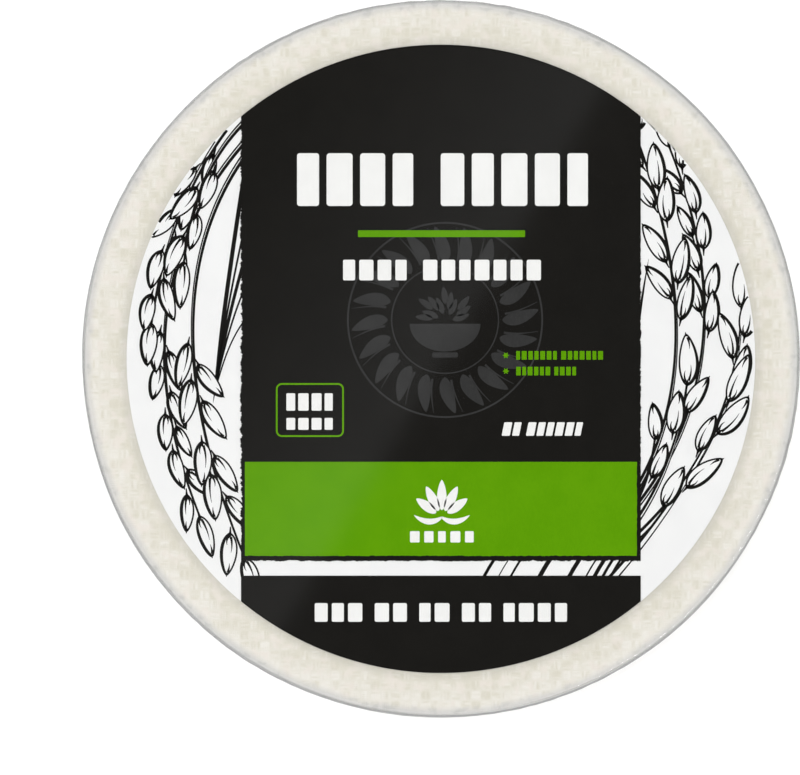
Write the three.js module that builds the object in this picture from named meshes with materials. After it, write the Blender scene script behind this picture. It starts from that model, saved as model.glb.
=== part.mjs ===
// A flat round pack of rice paper wrappers, lying on its back with the label up.
// The sheets are stacked in a tight clear film, and a round paper label lies on the top sheet.
// Millimetres, +Z up. The origin is the middle of the underside.
import * as THREE from 'three';

// Driving dimensions.
const SHEET_DIAMETER = 220;     // a wrapper of the common 22 cm size
const SHEET_COUNT = 34;
const SHEET_PITCH = 0.42;       // one woven-faced sheet, with the air between it and the next
const WRAP_ALLOWANCE = 1.6;     // how far stray sheets and the film reach past a sheet's edge
const SHOULDER_RADIUS = 2.4;    // the film's round shoulder at the top of the stack
const BASE_RADIUS = 1.5;        // the tighter round at the underside
const LABEL_DIAMETER = 195.4;
const LABEL_THICKNESS = 0.3;

// Smoothness of the round surfaces.
const WRAP_SEGMENTS = 120;
const LABEL_SEGMENTS = 96;
const ARC_STEPS = 3;             // a round corner gets two facets for each step

// Sizes that follow from the driving dimensions.
const wrapRadius = SHEET_DIAMETER / 2 + WRAP_ALLOWANCE;
const stackHeight = SHEET_COUNT * SHEET_PITCH;
const labelRadius = LABEL_DIAMETER / 2;

/** Turns a profile of (radius, height) points about the vertical axis. */
function turned(profile, segments) {
  const geometry = new THREE.LatheGeometry(profile, segments);
  geometry.rotateX(Math.PI / 2);
  return geometry;
}

/** The outline of the wrapped stack: flat underside, round foot, wall, round shoulder, flat top. */
function wrapProfile() {
  const outline = new THREE.Path();
  outline.moveTo(0, 0);
  outline.lineTo(wrapRadius - BASE_RADIUS, 0);
  outline.absarc(wrapRadius - BASE_RADIUS, BASE_RADIUS, BASE_RADIUS, -Math.PI / 2, 0);
  const shoulderHeight = stackHeight - SHOULDER_RADIUS;
  outline.absarc(wrapRadius - SHOULDER_RADIUS, shoulderHeight, SHOULDER_RADIUS, 0, Math.PI / 2);
  outline.lineTo(0, stackHeight);
  return outline.getPoints(ARC_STEPS);
}

/** The outline of a flat disc of the given radius and thickness. */
function discProfile(radius, thickness) {
  return [
    new THREE.Vector2(0, 0),
    new THREE.Vector2(radius, 0),
    new THREE.Vector2(radius, thickness),
    new THREE.Vector2(0, thickness),
  ];
}

/** The whole stack of sheets, out to the film that holds it. */
function wrappedStack() {
  const material = new THREE.MeshStandardMaterial({ color: 0xe9e5d8, roughness: 0.55, metalness: 0 });
  const mesh = new THREE.Mesh(turned(wrapProfile(), WRAP_SEGMENTS), material);
  mesh.name = 'wrapped_stack';
  return mesh;
}

/** The round printed label that lies on the top sheet. */
function labelDisc() {
  const material = new THREE.MeshStandardMaterial({ color: 0x2b2a27, roughness: 0.4, metalness: 0 });
  const profile = discProfile(labelRadius, LABEL_THICKNESS);
  const mesh = new THREE.Mesh(turned(profile, LABEL_SEGMENTS), material);
  mesh.name = 'label_disc';
  mesh.position.z = stackHeight;
  return mesh;
}

const group = new THREE.Group();
group.add(wrappedStack(), labelDisc());

export default group;
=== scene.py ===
"""A flat round pack of rice paper wrappers in clear shrink film, with a printed label.

The pack lies on its back, label up. Sizes in the classes are millimetres, meshes are made in
metres, and the origin is the middle of the underside. Every surface is a formula of two
parameters: a profile carried round the vertical axis, or a flat section carried along a path.
"""

from __future__ import annotations

import logging
import math
from dataclasses import dataclass, field
from enum import Enum
from functools import cache

import bpy
import numpy as np
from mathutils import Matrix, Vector

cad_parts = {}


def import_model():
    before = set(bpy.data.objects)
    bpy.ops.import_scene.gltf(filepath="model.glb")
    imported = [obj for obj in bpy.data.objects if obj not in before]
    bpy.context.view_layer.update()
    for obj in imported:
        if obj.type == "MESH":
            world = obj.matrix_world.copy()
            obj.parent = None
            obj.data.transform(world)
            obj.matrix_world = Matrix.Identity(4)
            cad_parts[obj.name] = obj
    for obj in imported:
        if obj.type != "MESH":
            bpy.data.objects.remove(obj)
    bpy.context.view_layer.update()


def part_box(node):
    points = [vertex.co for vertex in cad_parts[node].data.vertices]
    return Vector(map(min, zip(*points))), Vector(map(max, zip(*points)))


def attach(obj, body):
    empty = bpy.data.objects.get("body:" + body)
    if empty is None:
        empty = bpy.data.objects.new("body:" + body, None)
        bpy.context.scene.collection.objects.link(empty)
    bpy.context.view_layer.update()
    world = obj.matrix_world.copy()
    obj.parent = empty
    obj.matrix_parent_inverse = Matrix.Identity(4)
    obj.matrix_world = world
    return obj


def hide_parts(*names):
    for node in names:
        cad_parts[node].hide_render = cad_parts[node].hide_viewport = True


MM = 0.001
TURN = 2.0 * math.pi
LOG = logging.getLogger("rice_paper_pack")

Array = np.ndarray
Colour = tuple[float, float, float]
Point = tuple[float, float]
Piece = bpy.types.Object
Material = bpy.types.Material
Socket = bpy.types.NodeSocket
Node = bpy.types.Node
Tree = bpy.types.NodeTree
Inputs = dict[str | int, object]

WHITE: Colour = (1.0, 1.0, 1.0)
LEVEL_PART: Colour = (1.0, 1.0, 0.0)
DRAWN_X: Colour = (0.16, 1.0, 1.0)
DRAWN_Y: Colour = (1.0, 0.16, 1.0)


# Formulas on whole arrays


def smooth_step(low: float, high: float, value: Array) -> Array:
    """An eased rise from 0 at low to 1 at high: t squared times (3 - 2t).

    Args:
        low: where the rise starts.
        high: where it ends; it may be less than low, for a fall.
        value: any array.

    Returns:
        An array of the same shape, from 0 to 1.
    """
    t = np.clip((value - low) / (high - low), 0.0, 1.0)
    return t * t * (3.0 - 2.0 * t)


def bell(value: Array, middle: Array | float, width: float) -> Array:
    """A bump of height 1: exp(-((value - middle) / width) squared)."""
    return np.exp(-(((value - middle) / width) ** 2))


def angles(count: int) -> Array:
    """Evenly spaced angles of one full turn, without the repeated last one."""
    return np.linspace(0.0, TURN, count, endpoint=False)


def ring_wave(angle: Array, rng: np.random.Generator, orders: range, size: float) -> Array:
    """A closed wavy line: a sum of cosines of whole-number orders with random phases.

    Args:
        angle: the angles, in radians.
        rng: the seeded source of the phases.
        orders: how many waves go round in each term; higher orders are weaker.
        size: the root mean square height of the sum.

    Returns:
        The wave's height at each angle.
    """
    order = np.array(list(orders), dtype=float)[:, None]
    phase = rng.uniform(0.0, TURN, order.shape)
    weight = rng.uniform(0.4, 1.0, order.shape) / np.sqrt(order)
    wave = (weight * np.cos(order * angle.ravel()[None, :] + phase)).sum(axis=0)
    return (size * wave / math.sqrt(0.5 * float((weight**2).sum()))).reshape(angle.shape)


def rough_line(count: int, rng: np.random.Generator, grain: int, size: float) -> Array:
    """A torn-looking line: coarse random steps joined up, with finer ones on top.

    Args:
        count: how many points the line has.
        rng: the seeded source of the steps.
        grain: how many points one coarse step spans.
        size: about how far the line strays.

    Returns:
        The offset of each point.
    """
    place = np.arange(count, dtype=float)
    line = np.zeros(count)
    for share, span in ((0.55, grain), (0.45, max(grain // 3, 1))):
        knots = np.arange(0.0, count + span, span)
        line += share * np.interp(place, knots, rng.uniform(-1.0, 1.0, knots.size))
    return size * line


def bezier(points: tuple[Point, ...], count: int) -> Array:
    """A smooth path: the Bernstein sum of its control points.

    Args:
        points: three or four control points (x, y).
        count: how many points the path gets.

    Returns:
        A (count, 2) array.
    """
    t = np.linspace(0.0, 1.0, count)[:, None]
    degree = len(points) - 1
    path = np.zeros((count, 2))
    for k, point in enumerate(points):
        path += math.comb(degree, k) * t**k * (1.0 - t) ** (degree - k) * np.array(point)
    return path


def normals(path: Array, closed: bool) -> Array:
    """Unit normals to the left of a flat path, from the difference of its neighbours."""
    if closed:
        step = np.roll(path, -1, axis=0) - np.roll(path, 1, axis=0)
    else:
        step = np.gradient(path, axis=0)
    step = step / np.maximum(np.linalg.norm(step, axis=1, keepdims=True), 1e-9)
    return np.stack([-step[:, 1], step[:, 0]], axis=1)


def turned_by(points: Array, angle: float, move: Point | Array = (0.0, 0.0)) -> Array:
    """Flat points turned about the origin by an angle and then moved."""
    c, s = math.cos(angle), math.sin(angle)
    return points @ np.array([[c, s], [-s, c]]) + np.asarray(move)


# Meshes


def grid_faces(rows: int, cols: int, wrap_rows: bool, wrap_cols: bool) -> Array:
    """The quads of a grid of rows by cols points, numbered row by row.

    Args:
        rows: how many rows of points.
        cols: how many points in a row.
        wrap_rows: True if the last row joins the first.
        wrap_cols: True if a row's last point joins its first.

    Returns:
        An (n, 4) array of point numbers.
    """
    i = np.arange(rows if wrap_rows else rows - 1)[:, None]
    j = np.arange(cols if wrap_cols else cols - 1)[None, :]
    i2, j2 = (i + 1) % rows, (j + 1) % cols
    quads = [i * cols + j, i * cols + j2, i2 * cols + j2, i2 * cols + j]
    return np.stack(quads, axis=-1).reshape(-1, 4)


def make_object(name: str, points: Array, face_sets: list[Array], smooth: bool) -> Piece:
    """Puts points in millimetres and their faces into a new mesh object at the origin.

    Args:
        name: the piece's name.
        points: (n, 3) points.
        face_sets: arrays of faces, each with its own number of corners.
        smooth: True for smooth shading.

    Returns:
        The object, linked into the scene.
    """
    sizes = np.concatenate([np.full(len(f), f.shape[1]) for f in face_sets])
    corners = np.concatenate([f.ravel() for f in face_sets])
    starts = np.concatenate([[0], np.cumsum(sizes)[:-1]])
    mesh = bpy.data.meshes.new(name)
    mesh.vertices.add(len(points))
    mesh.vertices.foreach_set("co", (points * MM).astype(np.float32).ravel())
    mesh.loops.add(len(corners))
    mesh.loops.foreach_set("vertex_index", corners.astype(np.int32))
    mesh.polygons.add(len(sizes))
    mesh.polygons.foreach_set("loop_start", starts.astype(np.int32))
    mesh.polygons.foreach_set("use_smooth", np.full(len(sizes), smooth))
    mesh.update(calc_edges=True)
    mesh.validate()
    piece = bpy.data.objects.new(name, mesh)
    bpy.context.scene.collection.objects.link(piece)
    return piece


def turned_solid(radius: Array, height: Array, angle: Array) -> tuple[Array, list[Array]]:
    """A profile carried round the vertical axis and closed by a pole at each end.

    The point at (row i, angle a) is (radius cos a, radius sin a, height). Rows run from the
    bottom pole, out, up and back in to the top pole, so that the faces point outwards.

    Args:
        radius: (rows, cols) distances from the axis, all over 0.
        height: (rows, cols) heights.
        angle: (cols,) angles.

    Returns:
        The points, and the faces of the wall and of the two poles.
    """
    rows, cols = radius.shape
    wall = np.stack([radius * np.cos(angle), radius * np.sin(angle), height], axis=-1)
    bottom = [[0.0, 0.0, float(height[0].mean())]]
    top = [[0.0, 0.0, float(height[-1].mean())]]
    points = np.concatenate([wall.reshape(-1, 3), bottom, top])
    j = np.arange(cols)
    after = (j + 1) % cols
    last = (rows - 1) * cols
    low_fan = np.stack([after, j, np.full(cols, rows * cols)], axis=1)
    high_fan = np.stack([last + j, last + after, np.full(cols, rows * cols + 1)], axis=1)
    return points, [grid_faces(rows, cols, False, True), np.concatenate([low_fan, high_fan])]


@dataclass
class Solids:
    """Closed solids that are gathered into one mesh.

    Attributes:
        points: the points of each solid.
        quads: its faces of four corners, numbered through the whole mesh.
        fans: its faces of three corners, if it has any.
        count: how many points there are so far.
    """

    points: list[Array] = field(default_factory=list, init=False)
    quads: list[Array] = field(default_factory=list, init=False)
    fans: list[Array] = field(default_factory=list, init=False)
    count: int = field(default=0, init=False)

    def take(self, points: Array, quads: Array, fans: Array | None = None) -> None:
        """Adds one solid, numbering its points after those already there."""
        self.points.append(points)
        self.quads.append(quads + self.count)
        if fans is not None:
            self.fans.append(fans + self.count)
        self.count += len(points)

    def finish(self, name: str, smooth: bool = False) -> Piece:
        """Makes the gathered solids into one object."""
        sets = [np.concatenate(faces) for faces in (self.quads, self.fans) if faces]
        return make_object(name, np.concatenate(self.points), sets, smooth)


@dataclass
class InkLayer(Solids):
    """Flat printed shapes of one ink, each a thin closed solid.

    Attributes:
        base: the height of the paper under the ink.
        edge: the radius of the label, past which nothing is printed.
        film: how thick the ink is drawn.
    """

    base: float
    edge: float
    film: float = 0.018

    def _kept_in(self, points: Array) -> Array:
        """Points past the label's edge drawn back to it, towards the middle."""
        reach = np.linalg.norm(points, axis=1, keepdims=True)
        return points * np.minimum(1.0, self.edge / np.maximum(reach, 1e-9))

    def _inside(self, path: Array) -> Array:
        """True for each point of a path that isn't past the label's edge."""
        return np.linalg.norm(path, axis=1) < self.edge - 0.1

    def patch(self, outline: Array, level: float) -> None:
        """A filled shape: every outline point is joined to the middle, above and below.

        Args:
            outline: (n, 2) points, anticlockwise, all in sight of their mean.
            level: the height of its upper face over the paper.
        """
        outline = self._kept_in(outline)
        n = len(outline)
        top = self.base + level
        heights = (top - self.film, top)
        walls = [np.column_stack([outline, np.full(n, z)]) for z in heights]
        middle = outline.mean(axis=0)
        poles = [[[middle[0], middle[1], z]] for z in heights]
        j = np.arange(n)
        after = (j + 1) % n
        low = np.stack([after, j, np.full(n, 2 * n)], axis=1)
        high = np.stack([n + j, n + after, np.full(n, 2 * n + 1)], axis=1)
        faces = grid_faces(2, n, False, True)
        self.take(np.concatenate(walls + poles), faces, np.concatenate([low, high]))

    def sheet(self, grid: Array, level: float) -> None:
        """A filled shape from a flat grid: an upper and a lower face, and a wall round them.

        Args:
            grid: (rows, cols, 2) points, with rows that go up and columns to the right.
            level: the height of its upper face over the paper.
        """
        rows, cols = grid.shape[:2]
        count = rows * cols
        flat = self._kept_in(grid.reshape(-1, 2))
        top = self.base + level
        faces = [np.column_stack([flat, np.full(count, z)]) for z in (top, top - self.film)]
        number = np.arange(count).reshape(rows, cols)
        rim = [number[0, :-1], number[:-1, -1], number[-1, :0:-1], number[:0:-1, 0]]
        here = np.concatenate(rim)
        after = np.roll(here, -1)
        wall = np.stack([here + count, after + count, after, here], axis=1)
        quads = grid_faces(rows, cols, False, False)
        self.take(np.concatenate(faces), np.concatenate([quads, quads[:, ::-1] + count, wall]))

    def stroke(self, path: Array, width: Array | float, level: float, closed: bool = False) -> None:
        """A line of changing width: a flat four-cornered section carried along a path.

        The part of an open line past the label's edge is left off.

        Args:
            path: (n, 2) points.
            width: the line's width, one value or one for each point.
            level: the height of its upper face over the paper.
            closed: True if the path's end joins its start.
        """
        half = np.broadcast_to(np.asarray(width, dtype=float) * 0.5, (len(path),))
        if not self._inside(path).all():
            self._clipped(path, half * 2.0, level, closed)
            return
        side = normals(path, closed) * half[:, None]
        top = np.full(len(path), self.base + level)
        low = top - self.film
        left, right = self._kept_in(path + side), self._kept_in(path - side)
        corners = [(left, low), (left, top), (right, top), (right, low)]
        ring = np.stack([np.column_stack([p, z]) for p, z in corners], axis=1)
        quads = grid_faces(len(path), 4, closed, True)
        if not closed:
            end = (len(path) - 1) * 4
            caps = np.array([[0, 3, 2, 1], [end, end + 1, end + 2, end + 3]])
            quads = np.concatenate([quads, caps])
        self.take(ring.reshape(-1, 3), quads[:, ::-1])

    def _clipped(self, path: Array, width: Array, level: float, closed: bool) -> None:
        """Draws each run of points inside the label's edge as a line of its own."""
        inside = self._inside(path)
        if closed:
            start = int(np.argmin(inside))
            path, width, inside = (np.roll(a, -start, axis=0) for a in (path, width, inside))
        breaks = np.flatnonzero(np.diff(inside.astype(int))) + 1
        for run in np.split(np.arange(len(path)), breaks):
            if inside[run[0]] and len(run) > 2:
                self.stroke(path[run], width[run], level)


# Shader nodes


class Nodes:
    """A shader node tree, with one short call for each kind of node that is used here."""

    def __init__(self, tree: Tree) -> None:
        """Takes the tree to build in."""
        self.tree = tree

    def feed(self, socket: Socket, value: object) -> None:
        """Links an output to a socket, or sets the socket's own number, vector or colour."""
        if isinstance(value, Socket):
            self.tree.links.new(value, socket)
        else:
            socket.default_value = (*value, 1.0) if socket.type == "RGBA" else value

    def add(self, kind: str, inputs: Inputs | None = None, **settings: object) -> Node:
        """A new node.

        Args:
            kind: its type, without the ShaderNode that all types start with.
            inputs: what is fed to its inputs, by their names or numbers.
            settings: its other settings, which are made first.

        Returns:
            The node.
        """
        node = self.tree.nodes.new(f"ShaderNode{kind}")
        for name, value in settings.items():
            setattr(node, name, value)
        for name, value in (inputs or {}).items():
            self.feed(node.inputs[name], value)
        return node

    def math(self, operation: str, *values: object) -> Socket:
        """A Math node of the given operation on one to three values."""
        return self.add("Math", dict(enumerate(values)), operation=operation).outputs[0]

    def product(self, first: object, *others: object) -> Socket:
        """All the values multiplied together."""
        for other in others:
            first = self.math("MULTIPLY", first, other)
        return first

    def remap(self, value: object, low: float, high: float, to: Point = (0.0, 1.0)) -> Socket:
        """An eased change from to[0] at low to to[1] at high."""
        ends = {"From Min": low, "From Max": high, "To Min": to[0], "To Max": to[1]}
        node = self.add("MapRange", {"Value": value, **ends}, interpolation_type="SMOOTHSTEP")
        return node.outputs["Result"]

    def rise(self, value: object, low: float, high: float, to: Point = (0.0, 1.0)) -> Socket:
        """The same for a length, with low and high in millimetres."""
        return self.remap(value, low * MM, high * MM, to)

    def blend(self, factor: object, first: object, second: object) -> Socket:
        """A colour between first and second."""
        return self.add("Mix", {0: factor, 6: first, 7: second}, data_type="RGBA").outputs[2]

    def noise(self, vector: object, size_mm: float, detail: float = 3.0) -> Socket:
        """Soft noise, about 0.5 in the mean, with features of about the given size."""
        inputs = {"Vector": vector, "Scale": 1.0 / (size_mm * MM), "Detail": detail}
        return self.add("TexNoise", inputs).outputs[0]

    def chance(self, number: Socket) -> Socket:
        """A random value from 0 to 1 for each whole number, or for each pair of them."""
        pair = number.type == "VECTOR"
        name, dimensions = ("Vector", "2D") if pair else ("W", "1D")
        node = self.add("TexWhiteNoise", noise_dimensions=dimensions)
        self.feed(node.inputs[name], number)
        return node.outputs["Value"]

    def stretched(self, vector: object, factors: Colour, turn: float = 0.0) -> Socket:
        """The coordinates scaled along each axis, after a turn about the vertical."""
        inputs = {"Vector": vector, "Rotation": (0.0, 0.0, turn), "Scale": factors}
        return self.add("Mapping", inputs).outputs[0]

    def place(self) -> Socket:
        """The piece's own coordinates, in metres."""
        return self.add("TexCoord").outputs["Object"]

    def parts(self, vector: object) -> tuple[Socket, ...]:
        """The x, y and z of a vector."""
        return tuple(self.add("SeparateXYZ", {0: vector}).outputs)

    def outward(self, place: object, operation: str) -> Node:
        """A vector operation on the level part of a place, such as LENGTH or NORMALIZE."""
        return self.add("VectorMath", {0: self.stretched(place, LEVEL_PART)}, operation=operation)

    def reach(self, place: object) -> Socket:
        """How far a place is from the vertical axis."""
        return self.outward(place, "LENGTH").outputs["Value"]

    def group(self, tree: Tree, **values: object) -> bpy.types.NodeOutputs:
        """The outputs of a group; an underscore in a value's name stands for a space."""
        inputs = {name.replace("_", " "): value for name, value in values.items()}
        return self.add("Group", inputs, node_tree=tree).outputs

    def bump(
        self, height: object, strength: object, distance_mm: float, under: Socket | None = None
    ) -> Socket:
        """The normal bent by a height field, over the normal that lies under it if any."""
        inputs = {"Strength": strength, "Distance": distance_mm * MM, "Height": height}
        if under is not None:
            inputs["Normal"] = under
        return self.add("Bump", inputs).outputs[0]

    def surface(self, shader: Node) -> None:
        """Makes a shader the material's surface."""
        self.add("OutputMaterial", {"Surface": shader.outputs[0]})


def new_group(
    name: str, inputs: dict[str, float | None], outputs: tuple[str, ...]
) -> tuple[Nodes, bpy.types.NodeOutputs, bpy.types.NodeInputs]:
    """An empty shader node group with its sockets.

    Args:
        name: the group's name.
        inputs: each input's name and its usual number, or None for a vector.
        outputs: the names of its outputs, all of them numbers.

    Returns:
        Its Nodes, the sockets that give its inputs, and those that take its outputs.
    """
    tree = bpy.data.node_groups.new(name, "ShaderNodeTree")
    for label, usual in inputs.items():
        kind = "NodeSocketVector" if usual is None else "NodeSocketFloat"
        socket = tree.interface.new_socket(label, in_out="INPUT", socket_type=kind)
        if usual is not None:
            socket.default_value = usual
    for label in outputs:
        tree.interface.new_socket(label, in_out="OUTPUT", socket_type="NodeSocketFloat")
    given, result = (tree.nodes.new(f"NodeGroup{end}") for end in ("Input", "Output"))
    return Nodes(tree), given.outputs, result.inputs


@cache
def paper_grain_group() -> Tree:
    """Fibres and mottle of paper and ink: a tone from 0 to 1, a roughness and a height.

    Two noises are used, one broad and one fine, the fine one drawn out into short fibres.
    """
    inputs = {"Vector": None, "Least Roughness": 0.4, "Most Roughness": 0.5}
    nodes, given, result = new_group("paper grain", inputs, ("Tone", "Roughness", "Height"))
    broad = nodes.noise(given["Vector"], 9.0, 4.0)
    fine = nodes.noise(nodes.stretched(given["Vector"], (1.0, 0.3, 1.0), 0.5), 0.35, 4.0)
    both = nodes.math("MULTIPLY_ADD", broad, 0.55, nodes.product(fine, 0.45))
    tone = nodes.remap(both, 0.36, 0.64)
    least = given["Least Roughness"]
    span = nodes.math("SUBTRACT", given["Most Roughness"], least)
    nodes.feed(result["Tone"], tone)
    nodes.feed(result["Roughness"], nodes.math("MULTIPLY_ADD", tone, span, least))
    nodes.feed(result["Height"], fine)
    return nodes.tree


@cache
def mat_weave_group() -> Tree:
    """The print of a woven drying mat: crowned squares with ribs that run two ways in turn.

    With x and y counted in squares, the crown is |sin(pi x) sin(pi y)|, the ribs are a sine
    across the square's own direction, and each square has a random tone of its own. Tones
    and streaks fade to nothing where the crown does, so squares melt into one another.
    """
    inputs = {"Vector": None, "Squares per Metre": 320.0, "Ribs": 5.0}
    outputs = ("Height", "Tone", "Ribbing", "Streak")
    nodes, given, result = new_group("mat weave", inputs, outputs)
    place = given["Vector"]
    scale = {0: place, "Scale": given["Squares per Metre"]}
    x, y, _ = nodes.parts(nodes.add("VectorMath", scale, operation="SCALE").outputs[0])
    cell_x, cell_y = nodes.math("FLOOR", x), nodes.math("FLOOR", y)
    parity = nodes.math("FLOORED_MODULO", nodes.math("ADD", cell_x, cell_y), 2.0)

    def sine(value: Socket, factor: object) -> Socket:
        """The sine of a value times a factor."""
        return nodes.math("SINE", nodes.product(value, factor))

    def in_turn(even: Socket, odd: Socket) -> Socket:
        """The first value in the even squares and the second in the odd ones."""
        return nodes.math("MULTIPLY_ADD", nodes.math("SUBTRACT", odd, even), parity, even)

    crown = nodes.math("ABSOLUTE", nodes.product(sine(x, math.pi), sine(y, math.pi)))
    ribs = nodes.product(given["Ribs"], TURN)
    ribbing = nodes.product(in_turn(sine(y, ribs), sine(x, ribs)), crown)
    drawn = [nodes.noise(nodes.stretched(place, way), 0.8) for way in (DRAWN_Y, DRAWN_X)]
    cell = nodes.add("CombineXYZ", {0: cell_x, 1: cell_y}).outputs[0]
    body = nodes.remap(crown, 0.0, 0.42, (0.12, 1.0))
    nodes.feed(result["Height"], nodes.math("MULTIPLY_ADD", ribbing, 0.3, crown))
    nodes.feed(result["Ribbing"], ribbing)
    for name, value in (("Tone", nodes.chance(cell)), ("Streak", in_turn(*drawn))):
        nodes.feed(result[name], nodes.product(nodes.math("SUBTRACT", value, 0.5), body))
    return nodes.tree


def new_material(name: str) -> tuple[Material, Nodes]:
    """An empty node material, and its Nodes."""
    material = bpy.data.materials.new(name)
    material.use_nodes = True
    material.node_tree.nodes.clear()
    return material, Nodes(material.node_tree)


# Finishes


@dataclass(frozen=True)
class SheetFinish:
    """Dry rice paper: a cream milky sheet with the print of a woven mat and faint streaks.

    Attributes:
        cream: the colour of the thicker squares, near the middle.
        pale: the colour of the thinner ones, near the edge.
        warm: a faintly pink tint that comes in here and there.
        shade: the painted shade beside the label, where the label's edge would shade the sheet.
        edge: the greyer colour of the rim, a painted shade for the shaded side of the stack seen
            through the film.
        scuff: the colour of the chips and crumpled spots along the very edge.
        label_radius: where the visible ring starts.
        sheet_radius: where it ends.
        stack_top: the height of the pile; its wall keeps the cream colour lower down.
        sheet_foot: the height where the lowest sheet starts.
        sheet_pitch: how much height each sheet takes; at the wall each has a tone of its own.
        weave_relief: how deep the mat's ribs are, in millimetres.
        squares: how much the tones of the mat's squares differ.
        streaks: how strong the streaks inside them are.
        ribs: how strong the tone of the ribs is.
        layers: how much the tones of the sheets' edges differ.
        cloud, blush, chip: how wide the clouds, the warm tints and the scuffs are.
    """

    cream: Colour = (0.66, 0.63, 0.543)
    pale: Colour = (0.777, 0.753, 0.703)
    warm: Colour = (0.755, 0.705, 0.65)
    shade: Colour = (0.47, 0.455, 0.41)
    edge: Colour = (0.56, 0.553, 0.545)
    scuff: Colour = (0.42, 0.42, 0.41)
    label_radius: float = 97.7
    sheet_radius: float = 110.9
    stack_top: float = 14.28
    sheet_foot: float = 0.08
    sheet_pitch: float = 0.4165
    weave_relief: float = 0.06
    squares: float = 0.92
    streaks: float = 3.5
    ribs: float = 0.2
    layers: float = 1.3
    cloud: float = 9.0
    blush: float = 4.5
    chip: float = 3.0

    def material(self, name: str) -> Material:
        """Builds the material for a sheet or a pile of sheets.

        The tone of the upper and the lower face is the mat's print, and that of the wall is a
        random one for each sheet. Clouds and a rise towards the edge are added to both.
        """
        material, nodes = new_material(name)
        place = nodes.place()
        out, up = nodes.reach(place), nodes.parts(place)[2]
        weave = nodes.group(mat_weave_group(), Vector=place)
        grain = nodes.group(
            paper_grain_group(), Vector=place, Least_Roughness=0.42, Most_Roughness=0.62
        )
        near, edge, top = self.label_radius, self.sheet_radius, self.stack_top
        high = nodes.rise(up, top - 3.2, top - 1.2)
        face = nodes.math("MAXIMUM", high, nodes.rise(up, 1.2, 0.5))
        counted = nodes.math("SUBTRACT", up, self.sheet_foot * MM)
        number = nodes.math("FLOOR", nodes.math("DIVIDE", counted, self.sheet_pitch * MM))
        layer = nodes.math("MULTIPLY_ADD", nodes.chance(number), self.layers, -0.5 * self.layers)
        streak = nodes.product(weave["Streak"], self.streaks)
        fibre = nodes.math("MULTIPLY_ADD", weave["Ribbing"], self.ribs, streak)
        woven = nodes.math("ADD", nodes.product(weave["Tone"], self.squares), fibre)
        tone = nodes.math("MULTIPLY_ADD", nodes.math("SUBTRACT", woven, layer), face, layer)
        cloud = nodes.math("SUBTRACT", nodes.noise(place, self.cloud), 0.5)
        ring = nodes.rise(out, near, edge, (0.0, 0.8))
        tone = nodes.math("ADD", tone, nodes.math("ADD", cloud, ring))
        colour = nodes.blend(nodes.remap(tone, -0.5, 1.4), self.cream, self.pale)
        tint = nodes.remap(nodes.noise(place, self.blush), 0.5, 0.66, (0.0, 0.7))
        colour = nodes.blend(tint, colour, self.warm)
        wavy = nodes.math("MULTIPLY_ADD", cloud, 1.6 * MM, out)
        worn = nodes.remap(nodes.noise(place, self.chip, 4.0), 0.52, 0.7, (0.0, 0.5))
        for mask, tint in (
            # painted shade: darkens the top sheet just outside the label's edge
            (nodes.rise(out, near - 0.6, near + 3.8, (0.5, 0.0)), self.shade),
            # painted shade: greys the outer rim of the top face
            (nodes.rise(wavy, edge - 3.2, edge + 0.3), self.edge),
            (nodes.product(worn, nodes.rise(out, edge - 3.4, edge - 0.6)), self.scuff),
        ):
            colour = nodes.blend(nodes.product(mask, high), colour, tint)
        relief = nodes.bump(weave["Height"], 1.0, self.weave_relief)
        nodes.surface(nodes.add("BsdfPrincipled", {
            "Base Color": colour,
            "Roughness": grain["Roughness"],
            "IOR": 1.36,
            "Normal": nodes.bump(grain["Height"], 0.6, 0.03, relief),
        }))
        return material


@dataclass(frozen=True)
class PrintFinish:
    """Coated paper, bare or under ink: two close tones, mottled, with a low satin shine.

    Attributes:
        low: the darker tone.
        high: the lighter tone.
        shine: the least and the most roughness.
        index: the index of refraction, which sets how much the surface mirrors.
    """

    low: Colour
    high: Colour
    shine: Point = (0.45, 0.6)
    index: float = 1.35

    def material(self, name: str) -> Material:
        """Builds the material for one ink or for the bare paper."""
        material, nodes = new_material(name)
        least, most = self.shine
        grain = nodes.group(
            paper_grain_group(), Vector=nodes.place(), Least_Roughness=least, Most_Roughness=most
        )
        nodes.surface(nodes.add("BsdfPrincipled", {
            "Base Color": nodes.blend(grain["Tone"], self.low, self.high),
            "Roughness": grain["Roughness"],
            "IOR": self.index,
            "Normal": nodes.bump(grain["Height"], 0.35, 0.01),
        }))
        return material


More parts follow.
